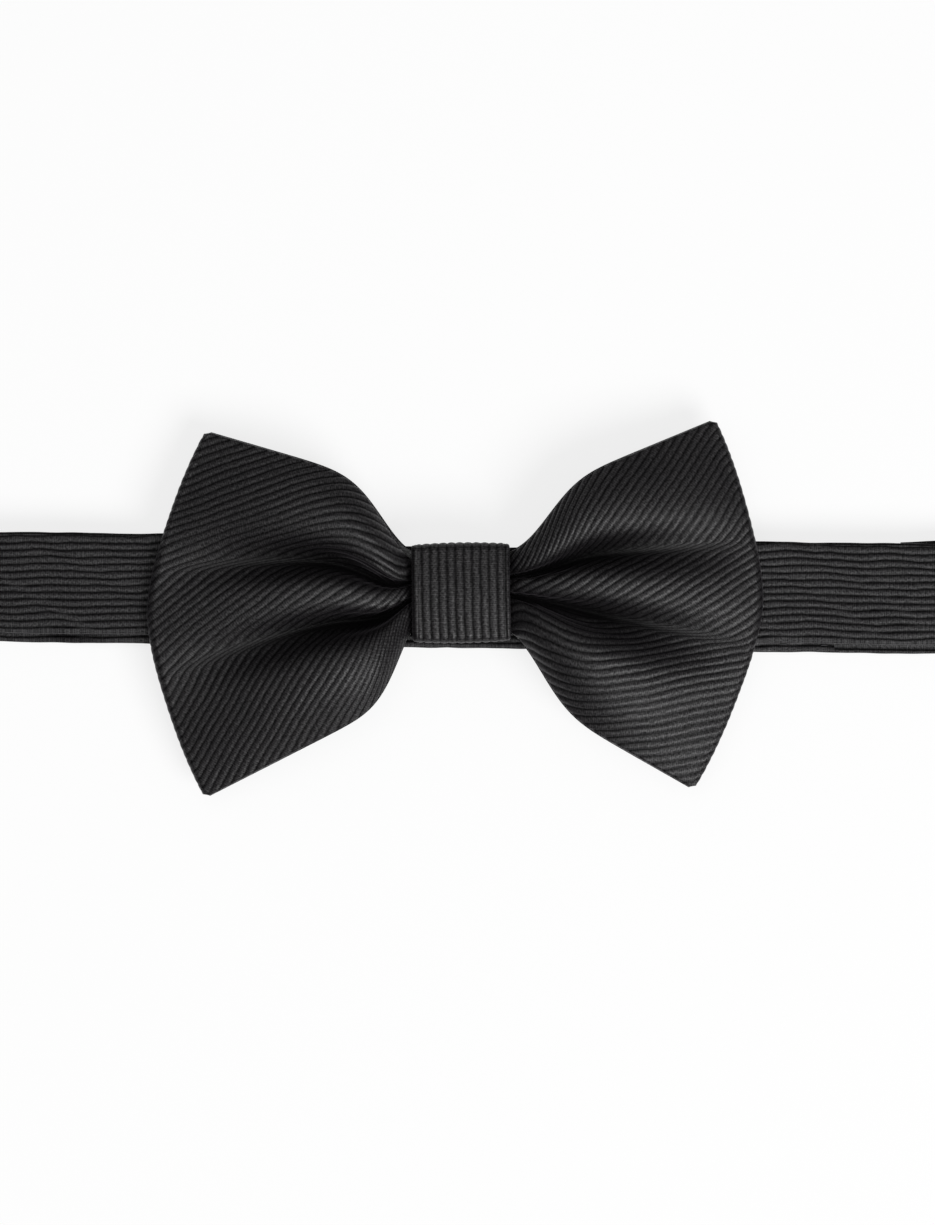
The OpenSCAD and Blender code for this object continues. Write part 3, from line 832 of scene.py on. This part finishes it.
sewn_z = LOW_Z + BAND_T + SEWN_GAP
eye_heights = (2 * EYE_Z - LOW_Z, sewn_z, sewn_z)
eye_end = [(EYE_BAR_X + x, z) for x, z in zip(EYE_PLACES, eye_heights)]
eye_path = [(BAND_HALF, LOW_Z)] + arc(EYE_BAR_X, EYE_Z, EYE_Z - LOW_Z, -90, -270, 13) + eye_end
add_strap("eye_strap_cloth", "right_strap", eye_path, "eye_strap", step=0.7)

# The seam overlap under the right end of the front layer, sewn a little askew.
lap_path = resample([(x, OVERLAP_Z) for x in OVERLAP_X], 1.0)
lap_width = np.full(len(lap_path), BAND_W)
lap_middle = OVERLAP_Y + (lap_path[:, 0] - OVERLAP_X[0]) * math.tan(OVERLAP_TURN)
lap, length = strap("right_seam_overlap_cloth", lap_path, lap_width, OVERLAP_T, lap_middle,
                    lap_path[:, 0], seed=5)
finish_piece(lap, BAND_FAILLE)
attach(lap, "neck_band")
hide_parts("right_seam_overlap")


# ---------------------------------------------------------------- CAD pieces that stay as they are

CAD_LOOKS = {
    "hook": (NICKEL, "black_nickel"),
    "eye": (NICKEL, "black_nickel"),
    "adjuster_buckle": (NICKEL, "black_nickel"),
    "waist_thread": (THREAD, "thread"),
    "knot_stitches": (THREAD, "thread"),
    "adjuster_tail_stitches": (THREAD, "thread"),
    "eye_strap_stitches": (THREAD, "thread"),
    "band_front_interlining": (FLEECE, "interlining"),
    "knot_interlining": (FLEECE, "interlining"),
    "hook_strap_interlining": (FLEECE, "interlining"),
    "eye_strap_interlining": (FLEECE, "interlining"),
}
for node, (made, slot_name) in CAD_LOOKS.items():
    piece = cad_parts[node]
    finish_piece(piece, made)
    if made is NICKEL:
        bevel = piece.modifiers.new("soft_edges", "BEVEL")
        bevel.width = 0.15 * MM
        bevel.segments = 3
        bevel.limit_method = "ANGLE"


# ---------------------------------------------------------------- camera, floor and light

camera_data = bpy.data.cameras.new("camera")
camera = bpy.data.objects.new("camera", camera_data)
bpy.context.scene.collection.objects.link(camera)
bpy.context.scene.camera = camera
VIEW_HEIGHT = 0.241          # metres of the table that the frame takes in from top to bottom
DISTANCE = 1.3               # metres from the table
CAMERA_TURN = math.radians(0.75)
FLOOR_GREY = 0.17
FLOOR_GLOW = 0.785
camera_data.sensor_width = 36
camera_data.lens = camera_data.sensor_width * DISTANCE / VIEW_HEIGHT
camera.location = (0.00134, -0.00474, DISTANCE)
camera.rotation_euler = (0, 0, CAMERA_TURN)
camera_data.clip_end = 20

bpy.ops.mesh.primitive_plane_add(size=6, location=(0, 0, 0))
floor = bpy.context.object
floor.name = "floor"
# Mostly self-lit, so that it is even and nearly white.
floor_material, _, _, floor_shader = material("pale_floor", (FLOOR_GREY,) * 3, 0.9)
floor_shader.inputs["Specular IOR Level"].default_value = 0.0
floor_shader.inputs["Emission Color"].default_value = (1, 1, 1, 1)
floor_shader.inputs["Emission Strength"].default_value = FLOOR_GLOW
floor.data.materials.append(floor_material)


def soft_light(name, place, size, power):
    """A round lamp that points at the middle of the table."""
    data = bpy.data.lights.new(name, "AREA")
    data.shape = "DISK"
    data.size = size
    data.energy = power
    light = bpy.data.objects.new(name, data)
    light.location = place
    direction = np.array(place) / np.linalg.norm(place)
    heading = math.atan2(direction[1], direction[0]) + math.pi / 2
    light.rotation_euler = (math.acos(direction[2]), 0, heading)
    bpy.context.scene.collection.objects.link(light)


soft_light("main_light", (1.35, -1.4, 2.1), 1.7, 84)
soft_light("top_light", (-0.4, 0.4, 3.0), 2.0, 16)
# The room is bright overhead and dark towards the horizon.
world = bpy.data.worlds.new("studio")
world.use_nodes = True
world_nodes, world_links = world.node_tree.nodes, world.node_tree.links
room_place = world_nodes.new("ShaderNodeTexCoord")
room_height = world_nodes.new("ShaderNodeSeparateXYZ")
world_links.new(room_place.outputs["Generated"], room_height.inputs["Vector"])
room_colour = ramp_between(world_nodes, world_links, room_height.outputs["Z"],
                           (0.03, 0.03, 0.03), (1, 1, 1), 0.2, 0.95)
world_links.new(room_colour, world_nodes["Background"].inputs["Color"])
world_nodes["Background"].inputs["Strength"].default_value = 0.5
bpy.context.scene.world = world
bpy.context.scene.view_settings.view_transform = "Standard"
